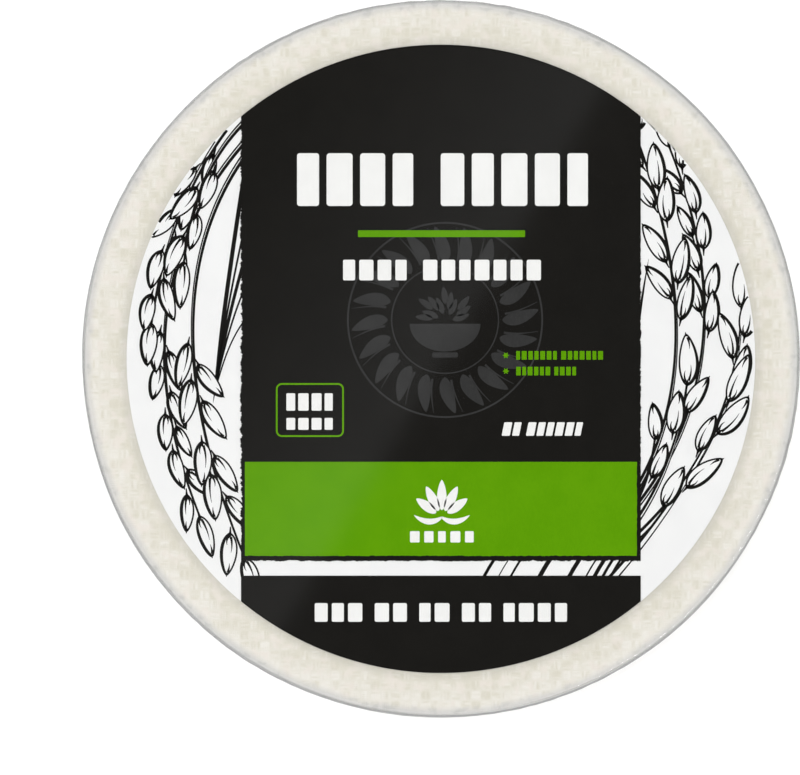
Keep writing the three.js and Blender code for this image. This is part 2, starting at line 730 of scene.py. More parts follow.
@dataclass(frozen=True)
class FilmFinish:
    """Clear shrink film: it mirrors more the flatter it is met, and passes the rest.

    The mirrored share is level + (1 - level) (1 - cos) to the fifth, the same from both sides.

    Attributes:
        clear: the colour that it lets through when met head on.
        slanted: the colour that it lets through when met at a slant, along more film.
        gloss: the colour of its reflections.
        bent: the darker colour that it lets through at its two tight bends, a painted shade for the
            pack's grey outline.
        level: the share that it mirrors when met head on.
        roughness: how soft its reflections are.
        label_radius: how far out it lies tight and even, over the label.
        pleat_turn: how wide one fine radial pleat is, in thousandths of a radian.
        slack_wave: how wide the waves are where it is loose.
        bend_spot: how wide the darker and lighter spots of that painted shade are.
        bend_from: the radius where the painted shade of the bends starts.
        bend_to: the radius where that painted shade is darkest.
        top: the height of the film over the sheets.
    """

    clear: Colour = (0.99, 0.99, 0.985)
    slanted: Colour = (0.38, 0.39, 0.40)
    gloss: Colour = (0.64, 0.65, 0.66)
    bent: Colour = (0.66, 0.665, 0.67)
    level: float = 0.055
    roughness: float = 0.05
    label_radius: float = 97.7
    pleat_turn: float = 11.0
    slack_wave: float = 34.0
    bend_spot: float = 26.0
    bend_from: float = 110.7
    bend_to: float = 111.9
    top: float = 14.4

    def material(self, name: str) -> Material:
        """Builds the film's material."""
        material, nodes = new_material(name)
        place = nodes.place()
        out, up, edge = nodes.reach(place), nodes.parts(place)[2], self.label_radius
        slack = nodes.noise(nodes.stretched(place, (1.0, 0.45, 1.0), 0.7), self.slack_wave, 2.0)
        loose = nodes.bump(slack, nodes.rise(out, edge, edge + 4.0, (0.1, 1.0)), 0.25)
        pleats = nodes.noise(nodes.outward(place, "NORMALIZE").outputs[0], self.pleat_turn, 2.0)
        normal = nodes.bump(pleats, nodes.rise(out, edge + 7.0, edge + 13.0), 0.12, loose)
        facing = nodes.add("LayerWeight", {"Blend": 0.5, "Normal": normal}).outputs["Facing"]
        steep = nodes.math("POWER", facing, 5.0)
        share = nodes.math("MULTIPLY_ADD", steep, 1.0 - self.level, self.level)
        over = nodes.rise(up, self.top - 2.2, self.top - 1.0)
        round_at = nodes.math("MAXIMUM", over, nodes.rise(up, 1.4, 0.6))
        # painted shade: the film lets through a darker colour, in uneven spots, at its rounds near
        # the outline
        uneven = nodes.remap(nodes.noise(place, self.bend_spot), 0.38, 0.6, (0.45, 1.0))
        bend = nodes.product(nodes.rise(out, self.bend_from, self.bend_to), round_at, uneven)
        tint = nodes.blend(nodes.math("POWER", facing, 2.0), self.clear, self.slanted)
        clear = nodes.add("BsdfTransparent", {"Color": nodes.blend(bend, tint, self.bent)})
        mirrored = {"Color": self.gloss, "Roughness": self.roughness, "Normal": normal}
        gloss = nodes.add("BsdfGlossy", mirrored)
        nodes.surface(nodes.add("MixShader", {0: share, 1: clear.outputs[0], 2: gloss.outputs[0]}))
        return material


class Ink(Enum):
    """What each printed layer is made of."""

    PAPER = PrintFinish((0.80, 0.80, 0.805), (0.825, 0.825, 0.825), (0.35, 0.5), 1.4)
    BLACK = PrintFinish((0.0088, 0.0083, 0.0073), (0.0102, 0.0096, 0.0084), (0.55, 0.7), 1.12)
    GREEN = PrintFinish((0.095, 0.29, 0.0004), (0.108, 0.312, 0.0012), (0.55, 0.7), 1.12)
    WHITE = PrintFinish((0.79, 0.79, 0.78), (0.82, 0.82, 0.81))
    FAINT = PrintFinish((0.030, 0.030, 0.030), (0.038, 0.038, 0.038), (0.55, 0.7), 1.15)

    def material(self) -> Material:
        """The ink's material, made once."""
        name = f"print_{self.name.lower()}"
        return bpy.data.materials.get(name) or self.value.material(name)


# The pack


@dataclass(frozen=True)
class PackSize:
    """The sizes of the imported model's solids, in millimetres.

    Attributes:
        wrap_radius: out to the film.
        stack_top: the height of the stack of sheets.
        label_radius: the label's radius.
        label_top: the height of the label's upper face.
    """

    wrap_radius: float
    stack_top: float
    label_radius: float
    label_top: float

    @classmethod
    def from_frame(cls) -> PackSize:
        """Reads the sizes from the two solids' boxes."""
        stack_low, stack_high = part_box("wrapped_stack")
        label_low, label_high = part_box("label_disc")
        return cls(
            wrap_radius=0.5 * (stack_high.x - stack_low.x) / MM,
            stack_top=stack_high.z / MM,
            label_radius=0.5 * (label_high.x - label_low.x) / MM,
            label_top=label_high.z / MM,
        )


def settle(piece: Piece, material: Material, node: str) -> Piece:
    """Dresses a finished piece, rides it on the pack and lets it stand for a solid.

    Args:
        piece: the finished object.
        material: its material.
        node: the solid that it stands for.

    Returns:
        The same object.
    """
    piece.data.materials.append(material)
    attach(piece, "root")
    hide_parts(node)
    triangles = sum(len(p.vertices) - 2 for p in piece.data.polygons)
    LOG.info("%s: %d triangles", piece.name, triangles)
    return piece


@dataclass
class SheetStack:
    """All the wrappers: a top and a bottom sheet with a woven face, and the pile between.

    Attributes:
        size: the pack's sizes.
        count: how many sheets there are.
        radius: a sheet's radius.
        thickness: a sheet's own thickness, less than its share of the height.
        lean: how far the top sheet is shifted towards +Y, and the bottom one away from it.
        stray: how far single sheets are out of line.
        droop: how far the film pulls the top sheet's edge down.
        square: the side of one square of the mat.
        relief: half the height between a raised and a sunken square.
        start: the height where the lowest sheet starts, just over the film.
        seed: what its waves and strays grow from.
    """

    size: PackSize
    count: int = 34
    radius: float = 110.9
    thickness: float = 0.34
    lean: float = 0.14
    stray: float = 0.1
    droop: float = 0.5
    square: float = 3.1
    relief: float = 0.035
    start: float = 0.08
    seed: int = 34

    def weave(self, x: Array, y: Array) -> Array:
        """Squares raised and sunken in turn: relief times sin(pi x / s) sin(pi y / s)."""
        wave = np.sin(math.pi * x / self.square) * np.sin(math.pi * y / self.square)
        return self.relief * wave

    @property
    def pitch(self) -> float:
        """How much of the stack's height each sheet takes."""
        return (self.size.stack_top - 0.12) / self.count

    def level(self, index: int) -> float:
        """The height of a sheet's middle, counted from the bottom one."""
        return self.start + self.pitch * (index + 0.5)

    def offset(self, index: int, rng: np.random.Generator) -> Array:
        """How far a sheet's centre is from the axis: an even lean and a random stray."""
        lean = self.lean * (2.0 * index / (self.count - 1) - 1.0)
        stray = rng.normal(0.0, self.stray, 2)
        return np.array([0.0, lean]) + np.clip(stray, -2.0 * self.stray, 2.0 * self.stray)

    def sheet(
        self, index: int, top: Array, bottom: Array, cols: int, rng: np.random.Generator
    ) -> tuple[Array, list[Array]]:
        """One closed sheet, from its bottom face round its rim to its top face.

        Each row is a ring. Its radius is its share of the sheet's wavy outline, and its height
        is the sheet's level, plus or minus half the thickness, plus an edge wave that grows
        with the fourth power of that share, minus the droop, plus the weave.

        Args:
            index: the sheet's number, from the bottom.
            top: the rings of the upper face, as shares of the radius, from the rim inwards.
            bottom: the rings of the lower face, from the middle outwards.
            cols: how many points go round.
            rng: the seeded source of its waves.

        Returns:
            Its points and faces.
        """
        angle = angles(cols)
        outline = self.radius + ring_wave(angle, rng, range(2, 9), 0.08)
        edge_wave = ring_wave(angle, rng, range(2, 12), 0.035)
        share = np.concatenate([bottom, [1.0], top])
        side = np.concatenate([np.full(bottom.size, -1.0), [0.0], np.full(top.size, 1.0)])
        radius = share[:, None] * outline[None, :]
        x, y = radius * np.cos(angle), radius * np.sin(angle)
        dip = self.droop * (index / (self.count - 1)) ** 2 * smooth_step(0.88, 1.0, share) ** 1.5
        height = (
            self.level(index)
            + 0.5 * self.thickness * side[:, None]
            + share[:, None] ** 4 * edge_wave[None, :]
            - dip[:, None]
            + self.weave(x, y) * smooth_step(1.0, 0.985, share)[:, None]
        )
        points, faces = turned_solid(radius, height, angle)
        points[:, :2] += self.offset(index, rng)
        return points, faces

    def build(self) -> list[Piece]:
        """Builds the top sheet, the bottom sheet and the pile between them.

        The rings are shares of the radius: they lie closest where the woven face can be seen.
        """
        rng = np.random.default_rng(self.seed)
        top_cols, base_cols, pile_cols = 1080, 720, 216
        rim = np.array([0.9992, 0.9976])
        ring = np.linspace(0.994, 0.865, 48)
        inner = np.linspace(0.84, 0.02, 24)
        plain = np.array([0.9, 0.5, 0.02])
        face = np.linspace(0.02, 0.994, 96)
        last = self.count - 1
        up = np.concatenate([rim, plain])
        top = self.sheet(last, np.concatenate([rim, ring, inner]), plain[::-1], top_cols, rng)
        base = self.sheet(0, plain, np.concatenate([face, rim[::-1]]), base_cols, rng)
        pile = [self.sheet(index, up, up[::-1], pile_cols, rng) for index in range(1, last)]
        finish = SheetFinish(
            label_radius=self.size.label_radius,
            sheet_radius=self.radius,
            stack_top=self.size.stack_top,
            sheet_foot=self.start,
            sheet_pitch=self.pitch,
        )
        material = finish.material("dry_rice_paper")
        pieces = []
        for name, sheets in (("top", [top]), ("pile", pile), ("bottom", [base])):
            solids = Solids()
            for points, faces in sheets:
                solids.take(points, *faces)
            piece = solids.finish(f"sheet_{name}", smooth=True)
            pieces.append(settle(piece, material, "wrapped_stack"))
        return pieces


@dataclass
class ShrinkFilm:
    """The clear film: one closed skin over the stack, stepped up over the label's edge.

    Attributes:
        size: the pack's sizes.
        slack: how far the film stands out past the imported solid's side.
        lift: how far it stays off what it covers.
        foot: the radius of its round at the underside.
        shoulder: the radius of its round at the top.
        pleat: the height of the fine pleats at the rounds.
        seal: how far the welded trim seam stands out from the side.
        fold: how far a crease along the shoulder stands out.
        fold_at: the bearing where that crease is strongest.
        fold_up: how far up the shoulder's round it runs, in radians.
        fold_wide: how wide it is there, in radians.
        seam_up: how high the trim seam runs, as a share of the film's height.
        seam_wide: how wide that seam is.
        cols: how many points go round.
        seed: what its waves grow from.
    """

    size: PackSize
    slack: float = 0.3
    lift: float = 0.12
    foot: float = 1.5
    shoulder: float = 2.4
    pleat: float = 0.05
    seal: float = 0.3
    fold: float = 0.1
    fold_at: float = math.radians(-42.0)
    fold_up: float = 0.82
    fold_wide: float = 0.11
    seam_up: float = 0.52
    seam_wide: float = 0.35
    cols: int = 960
    seed: int = 5

    @property
    def top(self) -> float:
        """The height of the film over the sheets."""
        return self.size.stack_top + self.lift

    @property
    def wide(self) -> float:
        """The film's radius at the wall."""
        return self.size.wrap_radius + self.slack

    def profile(self) -> tuple[Array, Array]:
        """The radii and heights of the section, from the middle of the underside to the label's.

        It runs out under the pack, round the foot, up the wall, round the shoulder and in over
        the rim, and then climbs an eased step onto the label.
        """
        label, shoulder, foot = self.size.label_radius, self.shoulder, self.foot
        under = np.linspace(2.0, self.wide - foot - 0.5, 16)
        low_turn = np.linspace(0.0, 0.5 * math.pi, 9)
        side = np.linspace(foot + 0.6, self.top - shoulder - 0.6, 20)
        high_turn = np.linspace(0.0, 0.5 * math.pi, 21)
        over = np.concatenate([
            np.linspace(self.wide - shoulder - 0.5, label + 2.4, 14),
            np.linspace(label + 2.0, label - 1.2, 9),
            np.linspace(label - 4.0, 2.0, 9),
        ])
        climb = smooth_step(label + 1.6, label - 0.4, over)
        radius = np.concatenate([
            under,
            self.wide - foot + foot * np.sin(low_turn),
            np.full(side.size, self.wide),
            self.wide - shoulder + shoulder * np.cos(high_turn),
            over,
        ])
        height = np.concatenate([
            np.zeros(under.size),
            foot - foot * np.cos(low_turn),
            side,
            self.top - shoulder + shoulder * np.sin(high_turn),
            self.top + (self.size.label_top - self.size.stack_top) * climb,
        ])
        return radius, height

    def build(self) -> Piece:
        """Builds the film: its profile carried round the axis, with what stands out from it.

        Pleats are a sum of high-order waves round the axis, strongest on the shoulder and the
        foot. The trim seam is a narrow ridge at half height, which comes and goes round the
        pack. A crease runs along the shoulder: with b the angle up the shoulder's round, it is
        exp(-((b - fold_up - w) / fold_wide) squared), where w is a slow wave, and it is
        strongest at one bearing.
        """
        rng = np.random.default_rng(self.seed)
        radius, height = self.profile()
        top, corner = self.top - self.shoulder, self.wide - self.shoulder
        angle = angles(self.cols)
        fine = ring_wave(angle, rng, range(60, 150), self.pleat)
        broad = ring_wave(angle, rng, range(3, 14), self.pleat * 1.6)
        gust = smooth_step(-0.4, 1.4, ring_wave(angle, rng, range(2, 9), 1.0))
        shoulder = bell(radius, self.wide - 1.2, 2.2) * (height > 0.6 * self.top)
        foot = bell(radius, self.wide - 1.0, 6.0) * (height < 0.3 * self.top)
        bulge = np.maximum(shoulder, foot)[:, None] * (fine * (0.3 + gust) + broad)
        wall = (height > self.foot) & (height < top)
        seam = bell(height, self.seam_up * self.top, self.seam_wide) * wall
        ridge = self.seal * seam[:, None] * (0.35 + 0.65 * gust)
        turn = np.arctan2(height - top, radius - corner)[:, None]
        on_round = ((radius > corner) & (height > top))[:, None]
        wander = ring_wave(angle, rng, range(2, 16), 0.1)
        folded = smooth_step(0.1, 1.5, ring_wave(angle, rng, range(1, 12), 1.0))
        bearing = bell(np.cos(angle - self.fold_at), 1.0, 0.35)
        crease = bell(turn, self.fold_up + wander, self.fold_wide)
        crease = crease * np.maximum(folded, bearing)
        fold = self.fold * crease * on_round
        lifted = 0.6 * bulge * (height > 0.5 * self.top)[:, None]
        out = radius[:, None] + bulge + ridge + fold * np.cos(turn)
        up = np.maximum(height[:, None] + lifted + fold * np.sin(turn), 0.0)
        points, faces = turned_solid(out, up, angle)
        piece = make_object("shrink_film", points, faces, smooth=True)
        return settle(piece, FilmFinish().material("clear_film"), "wrapped_stack")


class Level(Enum):
    """How high each printed layer lies over the paper, so that later inks cover earlier ones."""

    DRAWING = 0.02
    PANEL = 0.13
    BAND = 0.15
    MARK = 0.17


@dataclass
class LabelPaper:
    """The round die-cut label: a thin disc with a slightly rounded cut edge.

    Attributes:
        size: the pack's sizes.
        ink_room: the height kept over the paper for the layers of ink.
    """

    size: PackSize
    ink_room: float = 0.18

    @property
    def top(self) -> float:
        """The height of the paper's printed face."""
        return self.size.label_top - self.ink_room

    def build(self) -> Piece:
        """Builds the disc from its profile: flat below, a cut wall, flat on top."""
        radius = self.size.label_radius
        low = self.size.stack_top
        across = np.linspace(4.0, radius - 0.2, 10)
        cut = [radius - 0.02, radius, radius, radius - 0.02]
        profile = np.concatenate([across, cut, across[::-1]])
        flat = np.zeros(across.size)
        rise = (self.top - low) * np.concatenate([flat, [0.0, 0.2, 0.8, 1.0], flat + 1.0])
        angle = angles(360)
        rings = np.broadcast_to(profile[:, None], (profile.size, angle.size))
        heights = np.broadcast_to((low + rise)[:, None], rings.shape)
        points, faces = turned_solid(rings, heights, angle)
        piece = make_object("label_paper", points, faces, smooth=False)
        return settle(piece, Ink.PAPER.material(), "label_disc")


class Printer:
    """Opens ink layers at the label's height and finishes them as pieces of the label."""

    def __init__(self, label: LabelPaper) -> None:
        """Takes the label that is printed on."""
        self.base = label.top
        self.edge = label.size.label_radius - 0.05

    def layer(self) -> InkLayer:
        """An empty ink layer on the label."""
        return InkLayer(self.base, self.edge)

    def print(self, layer: InkLayer, ink: Ink, name: str) -> Piece:
        """Makes a layer into a finished piece of the label."""
        return settle(layer.finish(name), ink.material(), "label_disc")


@dataclass
class Fields:
    """The big fields of colour: two black panels, and a green band on the upper one.

    Attributes:
        printer: what they are printed with.
        half_width: half the width of the panels.
        upper_base: the lower edge of the upper panel.
        lower_top: the straight upper edge of the lower panel.
        band_top: the upper edge of the green band.
        band_base: its lower edge.
        band_half: half its width.
        foot: how high the strip along the upper panel's foot is.
        seed: what the torn lines grow from.
    """

    printer: Printer
    half_width: float = 62.1
    upper_base: float = -62.6
    lower_top: float = -67.4
    band_top: float = -32.0
    band_base: float = -61.2
    band_half: float = 60.9
    foot: float = 1.4
    seed: int = 62

    def arc_path(self, start: Array, end: Array, count: int) -> Array:
        """Points along the label's edge, anticlockwise from start to end."""
        first, last = math.atan2(start[1], start[0]), math.atan2(end[1], end[0])
        turn = np.linspace(first, last, count)
        return self.printer.edge * np.stack([np.cos(turn), np.sin(turn)], axis=1)

    def upper_panel(self, layer: InkLayer) -> None:
        """The tall panel: torn sides and a torn lower edge under the label's round top.

        Its body is a grid of level rows: with R the label's radius, a row at height y runs
        between plus and minus the lesser of half the panel's width and sqrt(R^2 - y^2), less
        the torn lines. A strip with a torn lower edge goes along its foot.
        """
        rng = np.random.default_rng(self.seed)
        half, edge, foot = self.half_width, self.printer.edge, self.upper_base + self.foot
        shoulder = math.sqrt(edge**2 - half**2)
        turn = np.linspace(math.asin(shoulder / edge), 0.5 * math.pi - 0.004, 90)
        height = np.concatenate([np.linspace(foot, shoulder, 700)[:-1], edge * np.sin(turn)])
        reach = np.minimum(half, np.sqrt(np.maximum(edge**2 - height**2, 0.0)))
        share = (height - foot) / (shoulder - foot)
        torn_right = 0.12 + smooth_step(0.18, 0.3, share) * smooth_step(0.74, 0.66, share)
        torn_left = 0.2 + 0.8 * smooth_step(0.0, 0.12, share)
        fade = smooth_step(0.0, 0.02, share) * smooth_step(1.0, 0.98, share)
        right = reach - rough_line(height.size, rng, 4, 0.3) * torn_right * fade
        left = -reach - rough_line(height.size, rng, 5, 0.62) * torn_left * fade
        across = np.linspace(0.0, 1.0, 5)[None, :]
        x = left[:, None] * (1.0 - across) + right[:, None] * across
        y = np.broadcast_to(height[:, None], x.shape)
        layer.sheet(np.stack([x, y], axis=2), Level.PANEL.value)
        along = np.linspace(-half, half, 500)
        bite = self.upper_base - rough_line(along.size, rng, 5, 0.34) - 0.16
        strip = [np.stack([along, y], axis=1) for y in (bite, np.full(along.size, foot + 0.3))]
        layer.sheet(np.stack(strip), Level.PANEL.value - 0.002)

    def lower_panel(self, layer: InkLayer) -> None:
        """The foot panel: a straight upper edge and short sides, and the label's round."""
        half, top = self.half_width, self.lower_top
        low = -math.sqrt(self.printer.edge**2 - half**2)
        corners = np.array([[half, low], [half, top], [-half, top], [-half, low]])
        arc = self.arc_path(corners[3], corners[0], 160)
        layer.patch(np.concatenate([arc[:-1], corners[:3]]), Level.PANEL.value)

    def band(self, layer: InkLayer) -> None:
        """The green band: straight, with its lower edge and its right end a little rough.

        Its grid is x = left(v) (1 - u) + right(v) u and y = low(u) (1 - v) + high(u) v.
        """
        rng = np.random.default_rng(self.seed + 1)
        u, v = np.linspace(0.0, 1.0, 320)[None, :], np.linspace(0.0, 1.0, 40)[:, None]
        low = self.band_base + rough_line(u.size, rng, 4, 0.16)[None, :]
        high = self.band_top + rough_line(u.size, rng, 4, 0.02)[None, :]
        right = self.band_half + rough_line(v.size, rng, 3, 0.12)[:, None]
        left = -self.band_half + rough_line(v.size, rng, 3, 0.04)[:, None]
        x, y = left * (1.0 - u) + right * u, low * (1.0 - v) + high * v
        layer.sheet(np.stack([x, y], axis=2), Level.BAND.value)

    def build(self) -> list[Piece]:
        """Builds the three fields."""
        upper, lower, band = (self.printer.layer() for _ in range(3))
        self.upper_panel(upper)
        self.lower_panel(lower)
        self.band(band)
        return [
            self.printer.print(upper, Ink.BLACK, "print_panel_upper"),
            self.printer.print(lower, Ink.BLACK, "print_panel_lower"),
            self.printer.print(band, Ink.GREEN, "print_band"),
        ]


def rounded_box(width: float, height: float, corner: float, slant: float = 0.0) -> Array:
    """A box outline about the origin with quarter-circle corners, sheared by slant.

    Args:
        width: its width.
        height: its height.
        corner: the radius of its corners.
        slant: how far the top leans to the right for each unit of height.

    Returns:
        An anticlockwise (n, 2) outline.
    """
    turn = np.linspace(0.0, 0.5 * math.pi, 6)
    reach = [width / 2 - corner, height / 2 - corner]
    centres = np.array([[1, 1], [-1, 1], [-1, -1], [1, -1]]) * reach
    parts = []
    for k, centre in enumerate(centres):
        angle = turn + 0.5 * math.pi * k
        parts.append(centre + corner * np.stack([np.cos(angle), np.sin(angle)], axis=1))
    outline = np.concatenate(parts)
    return outline + np.stack([outline[:, 1] * slant, np.zeros(len(outline))], axis=1)


@dataclass(frozen=True)
class BlockRow:
    """A row of plain blocks in place of a line of words.

    Attributes:
        left: where the row starts.
        right: where it ends.
        middle: the height of its centre line on the label.
        tall: the height of a block.
        words: how many blocks each word has.
        slant: how far the blocks lean.
        gap: the gap between two blocks, as a share of a block's width.
        space: the gap between two words, as such a share.
        rhythm: how wide the blocks are, taken in turn.
    """

    left: float
    right: float
    middle: float
    tall: float
    words: tuple[int, ...]
    slant: float = 0.0
    gap: float = 0.24
    space: float = 0.9
    rhythm: tuple[float, ...] = (1.0, 0.82, 1.08, 0.94, 0.88, 1.04)

    def draw(self, layer: InkLayer) -> None:
        """Draws the blocks, as wide as fills the row from left to right."""
        weights, gaps = [], []
        for word in self.words:
            for k in range(word):
                weights.append(self.rhythm[(len(weights) + word) % len(self.rhythm)])
                gaps.append(self.space if k == word - 1 else self.gap)
        gaps[-1] = 0.0
        unit = (self.right - self.left) / (sum(weights) + sum(gaps))
        x = self.left
        for weight, gap in zip(weights, gaps):
            wide = weight * unit
            corner = 0.12 * min(wide, self.tall)
            block = rounded_box(wide, self.tall, corner, self.slant)
            layer.patch(block + [x + wide / 2, self.middle], Level.MARK.value)
            x += wide + gap * unit


def grain_outline(length: float, width: float, bend: float, count: int = 30) -> Array:
    """A pointed grain from its base at the origin along +X.

    With t going once round, x is length (1 - cos t) / 2 and y is half the width times sin t,
    drawn in at both points and fuller towards the base; the whole is bent sideways by bend
    times x squared over the length.

    Args:
        length: from base to point.
        width: across the middle.
        bend: how far the point is off the axis, as a share of the length.
        count: how many points go round.

    Returns:
        An anticlockwise closed (count, 2) outline.
    """
    t = -angles(count)
    x = 0.5 * length * (1.0 - np.cos(t))
    y = 0.5 * width * np.sin(t) * np.abs(np.sin(t)) ** 0.35 * (1.0 + 0.2 * np.cos(t))
    return np.stack([x, y + bend * x**2 / length], axis=1)


@dataclass
class Marks:
    """The small print on the panels, all of it plain generic shapes.

    Attributes:
        printer: the printer of the label.
        title: the big row on the upper panel.
        subtitle: the row under the rule.
        count_line: the leaning row at the lower right.
        weight_line: the row on the lower panel.
        size_upper: the upper row in the rounded frame.
        size_lower: the lower row in it.
        bullet_rows: the two small green rows.
        name_row: the row under the sprig.
        bullet_at: how far right the bullets are.
        petals: how many petals the medallion has.
        grains: how many grains its bowl holds.
    """

    printer: Printer
    title: BlockRow = BlockRow(-44.7, 45.7, 55.7, 16.4, (4, 5), gap=0.3, space=1.1)
    subtitle: BlockRow = BlockRow(-30.4, 31.1, 27.6, 6.4, (4, 7), gap=0.3, space=1.2)
    count_line: BlockRow = BlockRow(19.3, 43.8, -21.8, 4.2, (2, 6), slant=0.2, gap=0.3)
    weight_line: BlockRow = BlockRow(-39.2, 39.2, -78.8, 5.8, (3, 2, 2, 2, 4), gap=0.3)
    size_upper: BlockRow = BlockRow(-48.0, -33.6, -13.4, 5.4, (4,), gap=0.3)
    size_lower: BlockRow = BlockRow(-48.0, -33.6, -20.2, 3.7, (4,), gap=0.3)
    bullet_rows: tuple[BlockRow, ...] = (
        BlockRow(23.4, 50.4, 1.1, 2.7, (7, 7), gap=0.35),
        BlockRow(23.4, 42.0, -3.8, 2.7, (6, 4), gap=0.35),
    )
    name_row: BlockRow = BlockRow(-9.6, 10.2, -55.3, 3.5, (5,), gap=0.5)
    bullet_at: float = 20.2
    petals: int = 20
    grains: int = 11

    def bullet(self, layer: InkLayer, middle: Point) -> None:
        """A small star with six round points: its radius waves six times round."""
        angle = angles(48)
        radius = 0.95 * (0.78 + 0.24 * np.cos(6.0 * angle))
        star = np.stack([radius * np.cos(angle), radius * np.sin(angle)], axis=1)
        layer.patch(star + np.array(middle), Level.MARK.value)

    def green(self) -> Piece:
        """The rule under the title, the bullets with their rows, and the rounded frame."""
        layer = self.printer.layer()
        layer.patch(rounded_box(51.9, 2.1, 0.15) + [0.2, 38.9], Level.MARK.value)
        for row in self.bullet_rows:
            row.draw(layer)
            self.bullet(layer, (self.bullet_at, row.middle))
        frame = rounded_box(20.6, 16.2, 1.6) + [-40.7, -15.9]
        layer.stroke(frame, 0.55, Level.MARK.value, closed=True)
        return self.printer.print(layer, Ink.GREEN, "print_green_marks")

    def white(self) -> Piece:
        """The rows of blocks that are white."""
        layer = self.printer.layer()
        rows = (self.title, self.subtitle, self.count_line, self.weight_line)
        for row in (*rows, self.size_upper, self.size_lower, self.name_row):
            row.draw(layer)
        return self.printer.print(layer, Ink.WHITE, "print_white_blocks")

    def sprig(self) -> Piece:
        """A plain sprig on the band: a fan of five grains over two curved leaves."""
        layer = self.printer.layer()
        foot = np.array([0.3, -49.2])
        for k in range(5):
            lean = math.radians(90.0 + 27.0 * (k - 2))
            long = 9.4 - 0.9 * abs(k - 2)
            grain = grain_outline(long, 2.9, 0.0) + [2.2, 0.0]
            layer.patch(turned_by(grain, lean, foot), Level.MARK.value)
        for way in (-1.0, 1.0):
            rise = bezier(((0.0, 0.0), (way * 4.0, -3.0), (way * 8.6, 0.6)), 24) + foot
            swell = 1.7 * np.sin(np.linspace(0.05, 1.0, 24) * math.pi) ** 0.8 + 0.12
            layer.stroke(rise, swell, Level.MARK.value)
        return self.printer.print(layer, Ink.WHITE, "print_sprig")

    def medallion(self) -> Piece:
        """A faint round ornament: two rings, a wreath of curved petals and a bowl of rice."""
        layer = self.printer.layer()
        level = Level.BAND.value
        middle = np.array([1.3, 12.1])
        bowl_half, bowl_deep = 11.0, 8.6
        ring = angles(120)
        circle = np.stack([np.cos(ring), np.sin(ring)], axis=1)
        for radius, wide in ((30.2, 0.55), (16.6, 0.4)):
            layer.stroke(circle * radius + middle, wide, level, closed=True)
        for k in range(self.petals):
            turn = TURN * k / self.petals
            petal = grain_outline(11.2, 4.2, 0.28) + [17.8, 0.0]
            layer.patch(turned_by(petal, turn, middle), level)
            vein = bezier(((18.6, 1.9), (23.0, 2.6), (28.6, 5.6)), 14)
            layer.stroke(turned_by(vein, turn, middle), np.linspace(0.7, 0.15, 14), level)
        bowl_turn = np.linspace(math.pi, TURN, 40)
        bowl = np.stack([bowl_half * np.cos(bowl_turn), bowl_deep * np.sin(bowl_turn)], axis=1)
        layer.patch(bowl + middle + [0.0, -1.2], level)
        layer.patch(rounded_box(8.0, 1.6, 0.5) + middle + [0.0, -10.9], level)
        for k in range(self.grains):
            lean = math.radians(12.0 + 15.6 * k)
            reach = 2.4 + 1.5 * (k % 3)
            grain = grain_outline(5.4, 2.0, 0.1, 20) + [reach, 0.0]
            layer.patch(turned_by(grain, lean, middle + [0.0, -0.4]), level)
        return self.printer.print(layer, Ink.FAINT, "print_medallion")

    def build(self) -> list[Piece]:
        """Builds all the small print."""
        return [self.green(), self.white(), self.sprig(), self.medallion()]


class Side(Enum):
    """Which sides of a stem its grains grow on."""

    BOTH = (1.0, -1.0)
    LEFT = (1.0,)
    RIGHT = (-1.0,)


@dataclass(frozen=True)
class Ear:
    """One ear of rice on its stalk.

    Attributes:
        stalk: the control points of the stalk, from the root to the tip.
        grains: how many grains it has.
        bare: the share of the stalk below the first grain.
        length: the length of a grain.
        side: where the grains grow.
        wide: the width of the stalk.
    """

    stalk: tuple[Point, ...]
    grains: int
    bare: float
    length: float = 11.0
    side: Side = Side.BOTH
    wide: float = 1.2


TALL_EARS = (
    Ear(((56.0, -52.0), (99.0, -4.0), (71.0, 66.0)), 10, 0.55, 12.2, wide=1.0),
    Ear(((56.0, -48.0), (90.0, -2.0), (57.0, 79.0)), 10, 0.54, 12.6, wide=1.0),
)


@dataclass
class Pens:
    """What one field of ears is drawn with, and where it is put.

    Attributes:
        fills: the ink layer of the white fills.
        lines: the ink layer of the lines.
        chance: the seeded source of chance.
        turn: the angle that the field is turned by.
        shift: how far it is then moved.
        lift: how much higher a line lies than its fill.
    """

    fills: InkLayer
    lines: InkLayer
    chance: np.random.Generator
    turn: float
    shift: Point
    lift: float

    def fill(self, outline: Array, level: float) -> None:
        """A white filled shape."""
        self.fills.patch(turned_by(outline, self.turn, self.shift), level)

    def strip(self, path: Array, width: Array | float, level: float) -> None:
        """A white strip along a path."""
        self.fills.stroke(turned_by(path, self.turn, self.shift), width, level)

    def line(self, path: Array, width: Array | float, level: float, closed: bool = False) -> None:
        """A black line over the white of the same level."""
        path = turned_by(path, self.turn, self.shift)
        self.lines.stroke(path, width, level + self.lift, closed)


